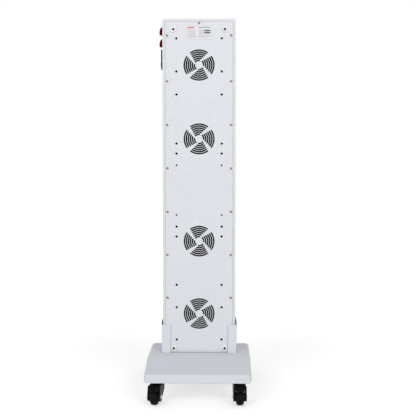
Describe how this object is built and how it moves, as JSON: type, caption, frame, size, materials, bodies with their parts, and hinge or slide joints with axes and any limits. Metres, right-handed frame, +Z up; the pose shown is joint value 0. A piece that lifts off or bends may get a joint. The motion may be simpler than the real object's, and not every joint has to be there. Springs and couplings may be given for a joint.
{
  "type": "red light therapy panel",
  "caption": "Tall slim lamp panel for light therapy in a white metal case with rear fan grilles, side rocker switches and a power inlet, standing in a wheeled base.",
  "frame": {"origin": "on the floor under the middle of the base", "axes": "+Z up; the lamps face -Y; the rear cover with its grilles faces +Y; the switches and the inlet are on +X"},
  "size_m": [0.32, 0.494, 1.1726],
  "materials": {
    "housing_white": "satin powder coat",
    "cover_white": "satin powder coat",
    "upright_white": "satin powder coat",
    "base_white": "satin powder coat",
    "plain_steel": "plain sheet",
    "zinc_steel": "zinc plated",
    "heat_plate_metal": "mill finish",
    "lamp_board_white": "white solder mask",
    "lens_clear": "clear moulded",
    "bumper_rubber": "matte",
    "black_rubber": "matte",
    "label_stock": "satin sticker",
    "black_plastic": "fine texture",
    "fan_plastic": "moulded",
    "red_plastic": "gloss",
    "driver_case": "satin",
    "cable_black": "sleeve",
    "cable_red": "sleeve",
    "fork_black": "gloss black paint",
    "tyre_black": "smooth tread"
  },
  "bodies": {
    "stand": {"base_cover": "base_white", "base_plate": "zinc_steel", "caster_stem_front_left": "zinc_steel", "caster_stem_front_right": "zinc_steel", "caster_stem_rear_left": "zinc_steel", "caster_stem_rear_right": "zinc_steel", "corner_bumper_1": "bumper_rubber", "corner_bumper_2": "bumper_rubber", "corner_bumper_3": "bumper_rubber", "corner_bumper_4": "bumper_rubber", "fan_frame_1": "fan_plastic", "fan_frame_2": "fan_plastic", "fan_frame_3": "fan_plastic", "fan_frame_4": "fan_plastic", "front_gasket": "black_rubber", "heat_plate": "heat_plate_metal", "lamp_board_lower": "lamp_board_white", "lamp_board_upper": "lamp_board_white", "lamp_driver_1": "driver_case", "lamp_driver_2": "driver_case", "lamp_driver_3": "driver_case", "lamp_driver_4": "driver_case", "lamp_harness": "cable_red", "lens_sheet_lower": "lens_clear", "lens_sheet_upper": "lens_clear", "liner_left": "black_rubber", "liner_right": "black_rubber", "main_housing": "housing_white", "mains_harness": "cable_black", "panel_shelf": "plain_steel", "power_inlet": "black_plastic", "rating_label": "label_stock", "rear_cover": "cover_white", "switch_body_lower": "black_plastic", "switch_body_upper": "black_plastic", "tapped_strip_left": "plain_steel", "tapped_strip_right": "plain_steel", "upright_left": "upright_white", "upright_right": "upright_white"},
    "fan_rotor_1": {"fan_rotor_1": "fan_plastic"},
    "fan_rotor_2": {"fan_rotor_2": "fan_plastic"},
    "fan_rotor_3": {"fan_rotor_3": "fan_plastic"},
    "fan_rotor_4": {"fan_rotor_4": "fan_plastic"},
    "rocker_lower": {"rocker_lower": "red_plastic"},
    "rocker_upper": {"rocker_upper": "red_plastic"},
    "fuse_drawer": {"fuse_drawer": "black_plastic"},
    "caster_rear_left": {"caster_fork_rear_left": "fork_black", "caster_axle_rear_left": "zinc_steel"},
    "wheel_rear_left": {"caster_wheel_rear_left": "tyre_black"},
    "pedal_rear_left": {"brake_pedal_rear_left": "black_plastic"},
    "caster_rear_right": {"caster_fork_rear_right": "fork_black", "caster_axle_rear_right": "zinc_steel"},
    "wheel_rear_right": {"caster_wheel_rear_right": "tyre_black"},
    "pedal_rear_right": {"brake_pedal_rear_right": "black_plastic"},
    "caster_front_left": {"caster_fork_front_left": "fork_black", "caster_axle_front_left": "zinc_steel"},
    "wheel_front_left": {"caster_wheel_front_left": "tyre_black"},
    "caster_front_right": {"caster_fork_front_right": "fork_black", "caster_axle_front_right": "zinc_steel"},
    "wheel_front_right": {"caster_wheel_front_right": "tyre_black"}
  },
  "joints": [
    {"name": "fan_spin_1", "type": "hinge", "parent": "stand", "child": "fan_rotor_1", "pos_m": [0, 0.0332, 1.0291], "axis": [0, 1, 0], "continuous": true},
    {"name": "fan_spin_2", "type": "hinge", "parent": "stand", "child": "fan_rotor_2", "pos_m": [0, 0.0332, 0.7996], "axis": [0, 1, 0], "continuous": true},
    {"name": "fan_spin_3", "type": "hinge", "parent": "stand", "child": "fan_rotor_3", "pos_m": [0, 0.0332, 0.4786], "axis": [0, 1, 0], "continuous": true},
    {"name": "fan_spin_4", "type": "hinge", "parent": "stand", "child": "fan_rotor_4", "pos_m": [0, 0.0332, 0.2491], "axis": [0, 1, 0], "continuous": true},
    {"name": "rocker_tilt_lower", "type": "hinge", "parent": "stand", "child": "rocker_lower", "pos_m": [0.1166, 0.0125, 1.0989], "axis": [0, 1, 0], "range_deg": [0, 20]},
    {"name": "rocker_tilt_upper", "type": "hinge", "parent": "stand", "child": "rocker_upper", "pos_m": [0.1166, 0.0125, 1.1361], "axis": [0, 1, 0], "range_deg": [0, 20]},
    {"name": "fuse_drawer_slide", "type": "slide", "parent": "stand", "child": "fuse_drawer", "axis": [1, 0, 0], "range_m": [0, 0.014]},
    {"name": "swivel_rear_left", "type": "hinge", "parent": "stand", "child": "caster_rear_left", "pos_m": [0.125, 0.19, 0.06], "axis": [0, 0, 1], "continuous": true},
    {"name": "roll_rear_left", "type": "hinge", "parent": "caster_rear_left", "child": "wheel_rear_left", "pos_m": [0.12956, 0.21458, 0.025], "axis": [0.9833, -0.1822, 0], "continuous": true},
    {"name": "brake_rear_left", "type": "hinge", "parent": "caster_rear_left", "child": "pedal_rear_left", "pos_m": [0.12974, 0.21557, 0.055], "axis": [-0.9833, 0.1822, 0], "range_deg": [0, 16]},
    {"name": "swivel_rear_right", "type": "hinge", "parent": "stand", "child": "caster_rear_right", "pos_m": [-0.125, 0.19, 0.06], "axis": [0, 0, 1], "continuous": true},
    {"name": "roll_rear_right", "type": "hinge", "parent": "caster_rear_right", "child": "wheel_rear_right", "pos_m": [-0.12631, 0.21497, 0.025], "axis": [0.9986, 0.0523, 0], "continuous": true},
    {"name": "brake_rear_right", "type": "hinge", "parent": "caster_rear_right", "child": "pedal_rear_right", "pos_m": [-0.12636, 0.21596, 0.055], "axis": [-0.9986, -0.0523, 0], "range_deg": [0, 16]},
    {"name": "swivel_front_left", "type": "hinge", "parent": "stand", "child": "caster_front_left", "pos_m": [0.125, -0.19, 0.06], "axis": [0, 0, 1], "continuous": true},
    {"name": "roll_front_left", "type": "hinge", "parent": "caster_front_left", "child": "wheel_front_left", "pos_m": [0.1302, -0.16555, 0.025], "axis": [0.9781, -0.2079, 0], "continuous": true},
    {"name": "swivel_front_right", "type": "hinge", "parent": "stand", "child": "caster_front_right", "pos_m": [-0.125, -0.19, 0.06], "axis": [0, 0, 1], "continuous": true},
    {"name": "roll_front_right", "type": "hinge", "parent": "caster_front_right", "child": "wheel_front_right", "pos_m": [-0.12848, -0.16524, 0.025], "axis": [0.9903, 0.1392, 0], "continuous": true}
  ]
}
